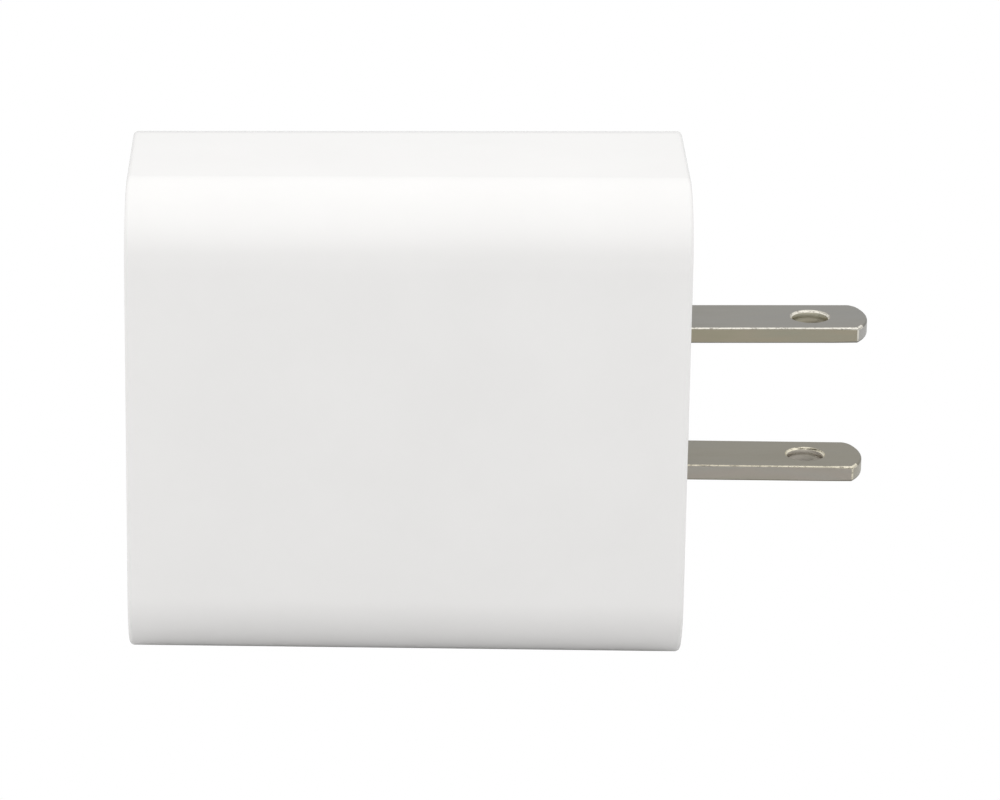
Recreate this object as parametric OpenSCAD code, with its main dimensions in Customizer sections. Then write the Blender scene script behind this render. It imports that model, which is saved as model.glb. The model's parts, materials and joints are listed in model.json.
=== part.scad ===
// USB wall charger with a fixed two-blade mains plug, standing on a narrow side.
// Millimetres. +X points at the wall, along the blades. +Z is up. +Y is the far broad side.
// The origin is the centre of the wall-side face, midway between the blades.

/* [Housing] */
// Length of the body, from the port end to the wall face
body_len = 48.2; // [48:0.1:52]
// Size of the body along Z, at the wall face
body_h = 43.3; // [43:0.1:46]
// Size of the body along Y, at the wall face
body_t = 25.7; // [25.5:0.1:28]
// Radius of the four long corners
corner_r = 6.5; // [5.5:0.1:7]
// Mould draft of each side, in degrees: the body narrows towards the ports
draft = 0.32; // [0.1:0.02:0.4]
// Thickness of the shell's side walls
wall = 1.8; // [1.5:0.1:1.9]
// Thickness of the shell's port end
front_wall = 2; // [1.6:0.1:2.2]

/* [Blades] */
// Distance between the middles of the two blades
blade_pitch = 12.7; // [12.6:0.05:12.8]
// Width of a blade, along Y
blade_w = 6.35; // [6.1:0.05:6.5]
// Thickness of a blade, along Z
blade_t = 1.4; // [1.36:0.02:1.6]
// Length of a blade past the wall face
blade_len = 16.2; // [15.9:0.1:18]
// Radius of the hole in a blade
blade_hole_r = 1.65; // [1.5:0.05:1.8]
// Distance of that hole from the wall face
blade_hole_x = 11.2; // [10.5:0.1:11.7]

/* [Ports] */
// Distance of each port's middle from the body's middle, along Z
port_z = 9.5; // [9:0.1:10]
// Size of the USB-A socket's shell across, along Z
usb_a_w = 13.1; // [13:0.05:13.3]
// Size of the USB-A socket's shell through, along Y
usb_a_t = 5.7; // [5.6:0.05:5.9]
// Size of the USB-C socket's shell across, along Z
usb_c_w = 8.94; // [8.9:0.02:9]
// Size of the USB-C socket's shell through, along Y
usb_c_t = 3.26; // [3.2:0.02:3.3]
// Length of both sockets, along X
socket_len = 10.2; // [9.8:0.1:10.4]

/* [Boards] */
// Thickness of the main board
board_t = 1.4; // [1.2:0.1:1.6]
// Size of the main board, along Z
board_w = 37.8; // [37.4:0.1:38]
// Thickness of the upright port board
port_board_t = 1.2; // [1:0.1:1.2]

/* [Hidden] */
$fn = 48;
slope = tan(draft);
// Thickness of the two end slices that the drafted shapes are stretched between
end_skin = 0.05;
// Shell and socket details
port_clear = 0.1;
shell_metal = 0.3;
socket_mouth_x = -body_len + 0.3;
socket_back_x = socket_mouth_x + socket_len;
// Rear cover
cover_t = 2.6;
cover_gap = 0.05;
skirt_end_x = -7;
skirt_gap = 0.3;
skirt_t = 1.2;
boss_x = -4.4;
boss_h = 23;
boss_w = 11.6;
stake_y = 3.6;
stake_r = 1.1;
stake_head_r = 1.7;
retainer_t = 1.6;
// Blades
blade_z = blade_pitch / 2;
shoulder_w = 8.4;
shoulder_t = 1.2;
tail_w = 5;
tail_x = -8.6;
nose_r = 5.5;
nose_bevel = 0.35;
nose_edge = 0.8;
clip_t = 0.3;
clip_lo_x = -10.8;
clip_hi_x = -6.2;
clip_tab = 1.5;
// Main board: its parts stand on the face at board_y, towards -Y
board_y = 6;
board_lo_x = -45.4;
board_hi_x = -8;
lead_r = 0.3;
lead_out = 0.9;
hole_gap = 0.15;
// Port board
port_board_x = socket_back_x;
port_board_w = 36.4;
port_board_top_y = -8.8;
tab_z = 13;
tab_w = 3;
// Rails that hold the main board
rail_t = 0.7;
rail_in = 18.3;
rail_gap = 0.1;
// Parts that stand on the main board, as [x, z] of their middles
fuse_at = [-11.2, 0];
thermistor_at = [-16.2, 0];
choke_at = [-14.2, 12.4];
bulk_large_at = [-14.2, -13.2];
bulk_small_at = [-24.6, -13.6];
inductor_at = [-32.3, -13.6];
transformer_at = [-27, 0];
y_capacitor_at = [-20, 13.2];
output_front_at = [-31.9, 13.4];
output_rear_at = [-25, 13.4];
// Electrolytic capacitors, as [radius, height, lead spacing]
bulk_large = [4.9, 14.5, 5];
bulk_small = [4.4, 14.5, 3.5];
output_size = [3.15, 10, 2.5];
// Transformer, about the middle of its coil
coil_up = 7.5;
core_w = 14.8;
core_l = 16;
core_t = 5;
core_back = 2;
centre_leg = 4;
former_wall = 0.5;
flange_t = 0.6;
flange_at = 5.8;
flange_w = 10.4;
flange_h = 11.6;
primary_grow = 1.15;
secondary_grow = 0.9;
tape_grow = 0.3;
pin_row = 7.3;
pin_pitch = 2.5;
pin_r = 0.32;
// Common-mode choke ring
ring_r = 4.4;
ring_hole_r = 2.3;
ring_t = 3.8;
wire_grow = 0.9;
ring_coat = 0.05;
ring_up = 5.6;
winding_angle = 110;
// Line inductor
drum_r = 2.8;
drum_h = 7.5;
drum_core_r = 1.3;
drum_flange = 1.1;
// Surface-mounted parts, as [x, z]
bridge_at = [-19.6, 2.5];
power_switch_at = [-19.5, -6];
snubber_at = [-19.6, -13.4];
optocoupler_at = [-27, 0];
rectifier_at = [-35, 7];
chip_resistors_at = [
    [-13.2, -6], [-13.2, -8.4], [-13.7, 0], [-28, -10.5], [-32.3, -9.3], [-34, -4], [-34, -7], [-41, 6], [-41, 9]
];
chip_capacitors_at = [
    [-14, 5.5], [-33.5, 1], [-38.5, 0], [-38.5, -6], [-38.5, -10], [-42, 2], [-42, -6], [-21.8, 13]
];
port_chips_at = [[-2.5, 2.8], [-2.5, -2.8], [2.5, 2.8], [2.5, -2.8], [0, -5.5]];
// Film, heat spreader and pad over the solder side
film_y = 9.6;
film_t = 0.2;
spreader_y = 9.9;
spreader_t = 0.5;
barrier_x = -35.5;
barrier_t = 0.3;

// Half of a drafted size at x, where size is the full size at x = 0
function half_at(size, x) = size / 2 + x * slope;

// ---- shapes that repeat ----

// Drafted box with four rounded long corners; h and t are its sizes at x = 0
module drafted_box(x_lo, x_hi, h, t, r)
    hull()
        for (x = [x_lo, x_hi - end_skin])
            along_x(x, x + end_skin) rounded_rect(2 * half_at(h, x), 2 * half_at(t, x), r, $fn = 32);

// Flat rectangle with round corners
module rounded_rect(w, h, r) {
    square([w - 2 * r, h], center = true);
    square([w, h - 2 * r], center = true);
    for (x = [-1, 1], y = [-1, 1])
        translate([x * (w / 2 - r), y * (h / 2 - r)]) circle(r);
}

// Profile across the body, pushed along X: its first size runs along Z and its second along Y
module along_x(x_lo, x_hi)
    translate([x_lo, 0, 0]) rotate([90, 0, 90]) rotate(90) linear_extrude(x_hi - x_lo) children();

// Place on the main board's component face, with +Z away from the board and +Y along the body's +Z
module on_board(at) translate([at[0], board_y, at[1]]) rotate([90, 0, 0]) children();

// Place on the main board's solder face, with +Z away from the board
module under_board(at) translate([at[0], board_y + board_t, at[1]]) rotate([-90, 0, 0]) children();

// Two or more leads through the main board, at places in the part's own plane
module leads(places, up = 0.4, r = lead_r)
    for (p = places)
        translate([p[0], p[1], -board_t - lead_out]) cylinder(h = board_t + lead_out + up, r = r);

// Places of a two-lead part, spacing apart across the board
function pair(spacing) = [[0, -spacing / 2], [0, spacing / 2]];
choke_leads = [[-1.6, -3], [1.6, -3], [-1.6, 3], [1.6, 3]];
pin_places = [for (row = [-1, 1], k = [-1.5 : 1 : 1.5]) [k * pin_pitch, row * pin_row]];

// ---- enclosure ----

module housing()
    color("white") difference() {
        union() {
            difference() {
                drafted_box(-body_len, 0, body_h, body_t, corner_r);
                drafted_box(-body_len + front_wall, 1, body_h - 2 * wall, body_t - 2 * wall, corner_r - wall);
            }
            board_rails();
        }
        port_cut_out(port_z, usb_a_w, usb_a_t, 0.6);
        port_cut_out(-port_z, usb_c_w, usb_c_t, usb_c_t / 2 - 0.01);
    }

module port_cut_out(z, w, t, r)
    translate([0, 0, z])
        along_x(-body_len - 1, -body_len + front_wall + 1)
            rounded_rect(w + 2 * port_clear, t + 2 * port_clear, r + port_clear);

module board_rails() {
    root = half_at(body_h, board_lo_x) - wall / 2;
    for (side = [-1, 1], y = [board_y - rail_gap - rail_t, board_y + board_t + rail_gap])
        translate([board_lo_x, y, side > 0 ? rail_in : -root])
            cube([skirt_end_x - 0.2 - board_lo_x, rail_t, root - rail_in]);
}

module rear_cover()
    color("white") difference() {
        union() {
            along_x(-cover_t, 0) inside_outline(cover_gap);
            along_x(skirt_end_x, -cover_t) difference() {
                inside_outline(skirt_gap);
                inside_outline(skirt_gap + skirt_t);
            }
            translate([boss_x, -boss_w / 2, -boss_h / 2]) cube([-cover_t - boss_x, boss_w, boss_h]);
            for (side = [-1, 1]) translate([boss_x - retainer_t, side * stake_y, 0]) heat_stake();
        }
        for (side = [-1, 1]) translate([0, 0, side * blade_z]) blade_blank();
    }

module inside_outline(gap) {
    inset = 2 * (wall + gap);
    rounded_rect(body_h - inset, body_t - inset, corner_r - wall - gap);
}

module heat_stake()
    rotate([0, 90, 0]) {
        cylinder(h = retainer_t, r = stake_r);
        translate([0, 0, -0.6]) cylinder(h = 0.6, r = stake_head_r);
    }

module blade_retainer()
    color("ivory") difference() {
        translate([boss_x - retainer_t, -boss_w / 2, -boss_h / 2]) cube([retainer_t, boss_w, boss_h]);
        for (side = [-1, 1]) {
            translate([0, 0, side * blade_z]) blade_blank();
            translate([boss_x - retainer_t - 1, side * stake_y, 0])
                rotate([0, 90, 0]) cylinder(h = retainer_t + 2, r = stake_r + 0.05);
        }
    }

// ---- mains blades ----

// Blade without its hole or nose: tail, shoulders that lock it in, and the strip
module blade_blank() {
    slab(tail_x, boss_x, tail_w);
    slab(boss_x, boss_x + shoulder_t, shoulder_w);
    slab(boss_x + shoulder_t, blade_len - nose_r, blade_w);
}

module slab(x_lo, x_hi, w)
    translate([x_lo, -w / 2, -blade_t / 2]) cube([x_hi - x_lo, w, blade_t]);

// Nose: a crowned end in plan, bevelled on both broad faces
module blade_nose()
    intersection() {
        translate([blade_len - nose_r, 0, 0]) cylinder(h = blade_t, r = nose_r, center = true);
        translate([blade_len - nose_r, -blade_w / 2, -blade_t / 2]) cube([nose_r, blade_w, blade_t]);
        rotate([90, 0, 0]) linear_extrude(blade_w, center = true)
            polygon([
                [0, -blade_t / 2], [blade_len - nose_bevel, -blade_t / 2], [blade_len, -nose_edge / 2],
                [blade_len, nose_edge / 2], [blade_len - nose_bevel, blade_t / 2], [0, blade_t / 2]
            ]);
    }

module blade(side)
    color("silver") translate([0, 0, side * blade_z]) difference() {
        union() {
            blade_blank();
            blade_nose();
        }
        translate([blade_hole_x, 0, 0]) cylinder(h = 2 * blade_t, r = blade_hole_r, center = true);
    }

// Clip: two leaves that grip the blade's tail, a web between them and a tab into the board
module blade_clip(side)
    color("goldenrod") translate([0, 0, side * blade_z]) {
        leaf_z = blade_t / 2;
        web_y = 4;
        for (s = [-1, 1])
            translate([clip_lo_x, -tail_w / 2, s > 0 ? leaf_z : -leaf_z - clip_t])
                cube([clip_hi_x - clip_lo_x, tail_w / 2 + web_y, clip_t]);
        translate([clip_lo_x, web_y, -leaf_z - clip_t])
            cube([clip_hi_x - clip_lo_x, clip_t, 2 * (leaf_z + clip_t)]);
        translate([clip_lo_x + 0.2, web_y, -leaf_z - clip_t])
            cube([clip_tab, board_y - web_y + board_t + lead_out, clip_t]);
    }

// ---- boards ----

module main_board()
    color("darkgreen") difference() {
        translate([board_lo_x, board_y, -board_w / 2]) cube([board_hi_x - board_lo_x, board_t, board_w]);
        lead_holes(fuse_at, pair(5));
        lead_holes(thermistor_at, pair(5));
        lead_holes(choke_at, choke_leads);
        lead_holes(bulk_large_at, pair(bulk_large[2]));
        lead_holes(bulk_small_at, pair(bulk_small[2]));
        lead_holes(inductor_at, pair(3));
        lead_holes(transformer_at, pin_places);
        lead_holes(y_capacitor_at, pair(5));
        lead_holes(output_front_at, pair(output_size[2]));
        lead_holes(output_rear_at, pair(output_size[2]));
        for (side = [-1, 1]) {
            tab_slot(clip_lo_x + 0.1, clip_tab + 0.2, side * blade_z - blade_t / 2 - clip_t - 0.1, clip_t + 0.2);
            tab_slot(port_board_x - 0.1, port_board_t + 0.2, side * tab_z - tab_w / 2 - 0.1, tab_w + 0.2);
        }
    }

module lead_holes(at, places)
    for (p = places)
        on_board([at[0] + p[0], at[1] + p[1]])
            translate([0, 0, -board_t - 1]) cylinder(h = board_t + 2, r = lead_r + hole_gap);

module tab_slot(x, len_x, z, len_z)
    translate([x, board_y - 1, z]) cube([len_x, board_t + 2, len_z]);

module port_board()
    color("darkgreen") {
        translate([port_board_x, port_board_top_y, -port_board_w / 2])
            cube([port_board_t, board_y - port_board_top_y, port_board_w]);
        for (side = [-1, 1])
            translate([port_board_x, board_y, side * tab_z - tab_w / 2])
                cube([port_board_t, board_t + 0.2, tab_w]);
    }

// ---- output sockets ----

module usb_a_shell()
    color("silver") translate([0, 0, port_z])
        along_x(socket_mouth_x, socket_back_x) difference() {
            rounded_rect(usb_a_w, usb_a_t, 0.6);
            rounded_rect(usb_a_w - 2 * shell_metal, usb_a_t - 2 * shell_metal, 0.3);
        }

module usb_a_tongue()
    color("white") translate([0, 0, port_z]) {
        along_x(socket_back_x - 2.2, socket_back_x)
            rounded_rect(usb_a_w - 2 * shell_metal, usb_a_t - 2 * shell_metal, 0.3);
        translate([socket_mouth_x + 1, 0.3, -5.55]) cube([socket_len - 3.2, 1.84, 11.1]);
    }

module usb_a_contacts()
    color("gold") for (z = [-3.5, -1, 1, 3.5])
        translate([socket_mouth_x + 1.6, 0.1, port_z + z - 0.5]) cube([socket_len - 3.8, 0.2, 1]);

module usb_c_shell()
    color("silver") translate([0, 0, -port_z])
        along_x(socket_mouth_x, socket_back_x) difference() {
            rounded_rect(usb_c_w, usb_c_t, usb_c_t / 2 - 0.01);
            rounded_rect(usb_c_w - 2 * shell_metal, usb_c_t - 2 * shell_metal, usb_c_t / 2 - shell_metal - 0.01);
        }

module usb_c_tongue()
    color("dimgray") translate([0, 0, -port_z]) {
        along_x(socket_back_x - 4.6, socket_back_x)
            rounded_rect(usb_c_w - 2 * shell_metal, usb_c_t - 2 * shell_metal, usb_c_t / 2 - shell_metal - 0.01);
        translate([socket_mouth_x + 0.8, -0.35, -3.34]) cube([socket_len - 5.4, 0.7, 6.68]);
    }

module usb_c_contacts()
    color("gold") for (face = [-1, 1], k = [-5.5 : 1 : 5.5])
        translate([socket_mouth_x + 1.2, face > 0 ? 0.35 : -0.43, -port_z + k * 0.5 - 0.14])
            cube([3.6, 0.08, 0.28]);

// ---- mains side ----

module fuse()
    color("saddlebrown") on_board(fuse_at) {
        translate([-2.1, -4.2, 0.4]) cube([4.2, 8.4, 7.4]);
        leads(pair(5));
    }

module inrush_thermistor()
    color("darkolivegreen") on_board(thermistor_at) {
        translate([0, 0, 5]) rotate([0, 90, 0]) cylinder(h = 3, r = 3.6, center = true);
        leads(pair(5), 3);
    }

// The choke's own axis runs along X, so its ring stands on the board
module on_choke() on_board(choke_at) translate([0, 0, ring_up]) rotate([0, 90, 0]) children();

module ring_section(grow)
    translate([ring_hole_r - grow, -ring_t / 2 - grow]) square([ring_r - ring_hole_r + 2 * grow, ring_t + 2 * grow]);

module choke_core()
    color("dimgray") on_choke() rotate_extrude() ring_section(0);

module choke_windings()
    color("peru") {
        for (side = [0, 180])
            on_choke() rotate([0, 0, 90 + side - winding_angle / 2])
                rotate_extrude(angle = winding_angle) difference() {
                    ring_section(wire_grow);
                    ring_section(ring_coat);
                }
        on_board(choke_at) leads(choke_leads, 2.1);
    }

module bridge_rectifier()
    color("black") chip_package(bridge_at, [5, 6.4, 1.5], 4, 2.5);

module capacitor(at, size)
    on_board(at) difference() {
        union() {
            translate([0, 0, 0.4]) cylinder(h = size[1] - 0.4, r = size[0]);
            leads(pair(size[2]), 0.5);
        }
        crimp(size);
    }

// Groove rolled into the can near its foot
module crimp(size)
    translate([0, 0, 1.8]) rotate_extrude() translate([size[0], 0]) circle(0.35);

module bulk_capacitor_large() color("midnightblue") capacitor(bulk_large_at, bulk_large);
module bulk_capacitor_small() color("midnightblue") capacitor(bulk_small_at, bulk_small);

module line_inductor_core()
    color("dimgray") on_board(inductor_at) {
        translate([0, 0, 0.4]) cylinder(h = drum_h, r = drum_core_r);
        for (z = [0.4, 0.4 + drum_h - drum_flange])
            translate([0, 0, z]) cylinder(h = drum_flange, r = drum_r);
        leads(pair(3), 0.5);
    }

module line_inductor_winding()
    color("peru") on_board(inductor_at) difference() {
        translate([0, 0, 0.4 + drum_flange]) cylinder(h = drum_h - 2 * drum_flange, r = drum_r - 0.3);
        cylinder(h = drum_h + 1, r = drum_core_r);
    }

// Moulded package on the solder side: size is [x, z, height], with pins on its two Z sides
module chip_package(at, size, pins, pitch)
    under_board(at) {
        translate([-size[0] / 2, -size[1] / 2, 0.1]) cube([size[0], size[1], size[2] - 0.1]);
        for (side = [-1, 1], k = [0 : pins / 2 - 1])
            translate([(k - (pins / 2 - 1) / 2) * pitch - 0.2, side * (size[1] / 2 + 0.4) - 0.5, 0])
                cube([0.4, 1, 0.6]);
    }

module power_switch() color("black") chip_package(power_switch_at, [5, 4, 1.5], 8, 1.27);
module optocoupler() color("black") chip_package(optocoupler_at, [4.4, 4.6, 2], 4, 2.54);
module sync_rectifier() color("black") chip_package(rectifier_at, [5, 5.2, 1.1], 8, 1.27);
module snubber_diode() color("black") chip_package(snubber_at, [2.6, 4.3, 2.1], 2, 1);

// ---- transformer ----

module on_coil() on_board(transformer_at) translate([0, 0, coil_up]) children();

// E-shaped half: the back joins a centre leg and two outer legs
module transformer_core_half(side)
    color("dimgray") on_coil() mirror([0, side > 0 ? 0 : 1, 0]) {
        leg = core_l / 2;
        translate([-core_w / 2, leg - core_back, -core_t / 2]) cube([core_w, core_back, core_t]);
        translate([-centre_leg / 2, 0.05, -core_t / 2]) cube([centre_leg, leg - 0.05, core_t]);
        for (s = [0, 1])
            translate([s > 0 ? core_w / 2 - core_back : -core_w / 2, 0, -core_t / 2])
                cube([core_back, leg, core_t]);
    }

// Section of the coil former's tube, grown outwards
module coil_section(grow)
    rounded_rect(centre_leg + 0.1 + 2 * grow, core_t + 0.1 + 2 * grow, 0.4);

module coil_ring(inner, outer, length)
    rotate([90, 0, 0]) linear_extrude(length, center = true) difference() {
        coil_section(outer);
        coil_section(inner);
    }

coil_len = 2 * (flange_at - flange_t);
primary_out = former_wall + primary_grow;
secondary_out = primary_out + secondary_grow;

module transformer_bobbin()
    color("black") difference() {
        on_coil() {
            rotate([90, 0, 0]) linear_extrude(2 * flange_at, center = true) coil_section(former_wall);
            for (side = [-1, 1]) {
                translate([0, side * (flange_at - flange_t / 2), 0])
                    cube([flange_w, flange_t, flange_h], center = true);
                translate([-flange_w / 2, side * (flange_at + pin_row + 1.2) / 2 - (pin_row + 1.2 - flange_at) / 2,
                           -coil_up + 0.3])
                    cube([flange_w, pin_row + 1.2 - flange_at, 4]);
                translate([-flange_w / 2, side * (flange_at - flange_t / 2) - flange_t / 2, -coil_up + 0.3])
                    cube([flange_w, flange_t, 4]);
            }
        }
        on_coil() cube([centre_leg + 0.1, 2 * core_l, core_t + 0.1], center = true);
        transformer_pins();
    }

module transformer_primary() color("peru") on_coil() coil_ring(former_wall, primary_out, coil_len);
module transformer_secondary() color("orange") on_coil() coil_ring(primary_out, secondary_out, coil_len);
module transformer_tape() color("gold") on_coil() coil_ring(secondary_out, secondary_out + tape_grow, coil_len);
module transformer_pins() color("silver") on_board(transformer_at) leads(pin_places, 2.3, pin_r);

// ---- isolation and output side ----

module y_capacitor()
    color("royalblue") on_board(y_capacitor_at) {
        translate([0, 0, 4.8]) rotate([0, 90, 0]) cylinder(h = 2.4, r = 3.5, center = true);
        leads(pair(5), 3);
    }

module output_capacitor(at) color("silver") capacitor(at, output_size);

// Chips on the port board's back, with +Z away from the board
module on_port_board(at)
    translate([port_board_x + port_board_t, at[1], at[0]]) rotate([0, 90, 0]) children();

module port_controller()
    color("black") on_port_board([0, 0]) translate([-2, -2, 0]) cube([4, 4, 0.75]);

module small_chip(size)
    translate([-size[0] / 2, -size[1] / 2, 0]) cube(size);

module chip_resistors()
    color("black") {
        for (at = chip_resistors_at) under_board(at) small_chip([1.25, 2, 0.5]);
        for (at = port_chips_at) on_port_board([at[0] + 9, at[1]]) small_chip([1.6, 0.8, 0.45]);
    }

module chip_capacitors()
    color("tan") {
        for (at = chip_capacitors_at) under_board(at) small_chip([1.6, 3.2, 1.2]);
        for (at = port_chips_at) on_port_board([at[0] - 9, at[1]]) small_chip([1.6, 0.8, 0.7]);
    }

// ---- insulation and heat ----

module insulation_barrier()
    color("lightyellow") translate([barrier_x, -8.5, -17.5]) cube([barrier_t, 8.5 + board_y, 35]);

module insulation_film()
    color("lightyellow") translate([-44, film_y, -16]) cube([34, film_t, 32]);

module heat_spreader()
    color("silver") translate([-43, spreader_y, -14]) cube([32, spreader_t, 28]);

module thermal_pad() {
    pad_y = board_y + board_t + 1.5;
    color("lightblue") translate([power_switch_at[0] - 3, pad_y, power_switch_at[1] - 3])
        cube([6, film_y - pad_y, 6]);
}

// Bead between the two big capacitors, on the board
module capacitor_adhesive()
    color("whitesmoke") difference() {
        on_board([-19.7, -13.4]) translate([-2.2, -2.4, 0]) cube([4.4, 4.8, 2.6]);
        on_board(bulk_large_at) cylinder(h = 20, r = bulk_large[0]);
        on_board(bulk_small_at) cylinder(h = 20, r = bulk_small[0]);
    }

housing();
rear_cover();
blade_retainer();
blade(1);  // blade_live
blade(-1);  // blade_neutral
blade_clip(1);  // blade_clip_live
blade_clip(-1);  // blade_clip_neutral
main_board();
port_board();
usb_a_shell();
usb_a_tongue();
usb_a_contacts();
usb_c_shell();
usb_c_tongue();
usb_c_contacts();
fuse();
inrush_thermistor();
choke_core();
choke_windings();
bridge_rectifier();
bulk_capacitor_large();
bulk_capacitor_small();
line_inductor_core();
line_inductor_winding();
power_switch();
snubber_diode();
transformer_core_half(1);  // transformer_core_upper
transformer_core_half(-1);  // transformer_core_lower
transformer_bobbin();
transformer_primary();
transformer_secondary();
transformer_tape();
transformer_pins();
y_capacitor();
optocoupler();
sync_rectifier();
output_capacitor(output_front_at);  // output_capacitor_front
output_capacitor(output_rear_at);  // output_capacitor_rear
port_controller();
chip_resistors();
chip_capacitors();
insulation_barrier();
insulation_film();
heat_spreader();
thermal_pad();
capacitor_adhesive();
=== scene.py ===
# Looks for the USB wall charger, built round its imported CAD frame.
import json
import math

import bmesh
import bpy
from mathutils import Matrix, Vector


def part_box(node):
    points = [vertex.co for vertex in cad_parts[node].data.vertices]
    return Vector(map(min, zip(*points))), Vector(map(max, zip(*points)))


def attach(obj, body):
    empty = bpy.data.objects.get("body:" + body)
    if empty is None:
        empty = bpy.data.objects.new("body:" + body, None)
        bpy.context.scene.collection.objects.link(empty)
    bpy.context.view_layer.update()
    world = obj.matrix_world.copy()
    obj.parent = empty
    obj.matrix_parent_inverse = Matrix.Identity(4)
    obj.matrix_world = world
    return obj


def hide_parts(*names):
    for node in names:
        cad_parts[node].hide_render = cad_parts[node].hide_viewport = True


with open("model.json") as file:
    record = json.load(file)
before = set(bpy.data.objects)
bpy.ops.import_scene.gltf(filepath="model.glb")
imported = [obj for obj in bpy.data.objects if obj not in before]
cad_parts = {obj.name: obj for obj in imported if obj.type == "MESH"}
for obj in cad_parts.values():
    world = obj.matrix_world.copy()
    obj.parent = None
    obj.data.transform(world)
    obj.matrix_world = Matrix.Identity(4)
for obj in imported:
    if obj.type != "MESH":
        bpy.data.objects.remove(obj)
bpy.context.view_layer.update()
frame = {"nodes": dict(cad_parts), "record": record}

MM = 0.001
scene = bpy.context.scene


# ---------------------------------------------------------------- sizes, from the frame

body_low, body_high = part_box("housing")
BODY_LEN = body_high.x - body_low.x
BODY_H = body_high.z - body_low.z
BODY_T = body_high.y - body_low.y
FLOOR_Z = body_low.z
# the shell's corner, walls, taper and the gap round its ports, as in the CAD
CORNER_R = 6.5 * MM
WALL = 1.8 * MM
FRONT_WALL = 2.0 * MM
DRAFT = math.tan(math.radians(0.32))
PORT_CLEAR = 0.1 * MM
USB_A_CORNER = 0.6 * MM
# edge radii: the shell's two ends, the mouths of the ports and the inside of the rim
END_ROUND = 0.4 * MM
PORT_ROUND = 0.3 * MM
RIM_ROUND = 0.12 * MM
CORNER_STEPS = 24
ROUND_STEPS = 6
QUARTER = [math.radians(90 * k / ROUND_STEPS) for k in range(ROUND_STEPS + 1)]


# ---------------------------------------------------------------- mesh helpers

def finish_mesh(bm, name):
    """Turns a bmesh into an object in the scene, with flat faces shaded flat."""
    bmesh.ops.remove_doubles(bm, verts=bm.verts, dist=1e-7)
    bmesh.ops.recalc_face_normals(bm, faces=bm.faces)
    mesh = bpy.data.meshes.new(name)
    bm.to_mesh(mesh)
    bm.free()
    obj = bpy.data.objects.new(name, mesh)
    scene.collection.objects.link(obj)
    flatten_shading(obj)
    return obj


def flatten_shading(obj):
    """Weights the normals by area, so that large flat faces don't shade as if curved."""
    weighted = obj.modifiers.new("flat_faces", "WEIGHTED_NORMAL")
    weighted.mode = "FACE_AREA"
    weighted.weight = 100
    weighted.keep_sharp = True


def arc(centre_a, centre_b, radius, start, steps=CORNER_STEPS, sweep=90.0):
    """Points of an arc in a plane, from the angle start, in degrees."""
    points = []
    for k in range(steps + 1):
        angle = math.radians(start + sweep * k / steps)
        points.append((centre_a + radius * math.cos(angle), centre_b + radius * math.sin(angle)))
    return points


def rounded_outline(half_y, half_z, radius, steps=CORNER_STEPS):
    """Rounded rectangle as (y, z) points, the same number whatever its size."""
    points = []
    for sign_y, sign_z, start in ((1, 1, 0), (-1, 1, 90), (-1, -1, 180), (1, -1, 270)):
        points += arc(sign_y * (half_y - radius), sign_z * (half_z - radius), radius, start, steps)
    return points


def ring(bm, x, outline, centre_z=0.0):
    """Vertices along an outline, in the plane at x."""
    return [bm.verts.new((x, y, z + centre_z)) for y, z in outline]


def bridge(bm, ring_a, ring_b):
    """Smooth band of faces between two closed rings of the same length."""
    count = len(ring_a)
    for i in range(count):
        j = (i + 1) % count
        bm.faces.new((ring_a[i], ring_a[j], ring_b[j], ring_b[i])).smooth = True


def bridge_all(bm, rings):
    for ring_a, ring_b in zip(rings, rings[1:]):
        bridge(bm, ring_a, ring_b)


def loop_edges(bm, loop):
    """Edges round a closed loop of vertices, made where there are none yet."""
    edges = []
    for i, vert in enumerate(loop):
        other = loop[(i + 1) % len(loop)]
        edges.append(bm.edges.get((vert, other)) or bm.edges.new((vert, other)))
    return edges


def fill(bm, loops, normal):
    """Flat face inside the first loop, with the other loops as its holes."""
    edges = [edge for loop in loops for edge in loop_edges(bm, loop)]
    bmesh.ops.triangle_fill(bm, use_beauty=True, edges=edges, normal=normal)


def soft_box(bm, low, high, width):
    """Box between two corners with rounded edges."""
    size = Vector(high) - Vector(low)
    middle = (Vector(high) + Vector(low)) / 2
    matrix = Matrix.Translation(middle) @ Matrix.Diagonal((*size, 1))
    corners = bmesh.ops.create_cube(bm, size=1.0, matrix=matrix)["verts"]
    edges = list({edge for corner in corners for edge in corner.link_edges})
    made = bmesh.ops.bevel(bm, geom=edges, offset=width, segments=3, profile=0.5, affect="EDGES")
    for face in made["faces"]:
        face.smooth = True


def place(obj, slot, *nodes):
    """Puts a new piece on the body, in place of the CAD nodes it stands for."""
    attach(obj, "root")
    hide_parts(*nodes)
    return obj


# ---------------------------------------------------------------- housing

def drafted(x, inset, wall_offset=0.0):
    """Outline of the shell at x, moved inwards by inset."""
    half_y = BODY_T / 2 + x * DRAFT - inset - wall_offset
    half_z = BODY_H / 2 + x * DRAFT - inset - wall_offset
    return rounded_outline(half_y, half_z, CORNER_R - inset - wall_offset)


def port_outline(node, grow):
    """Outline of the opening round a socket, as (y, z) about the socket's middle."""
    low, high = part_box(node)
    half_y = (high.y - low.y) / 2
    half_z = (high.z - low.z) / 2
    radius = USB_A_CORNER if node == "usb_a_shell" else half_y - 0.01 * MM
    gap = PORT_CLEAR + grow
    return rounded_outline(half_y + gap, half_z + gap, radius + gap, 10), (low.z + high.z) / 2


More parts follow.
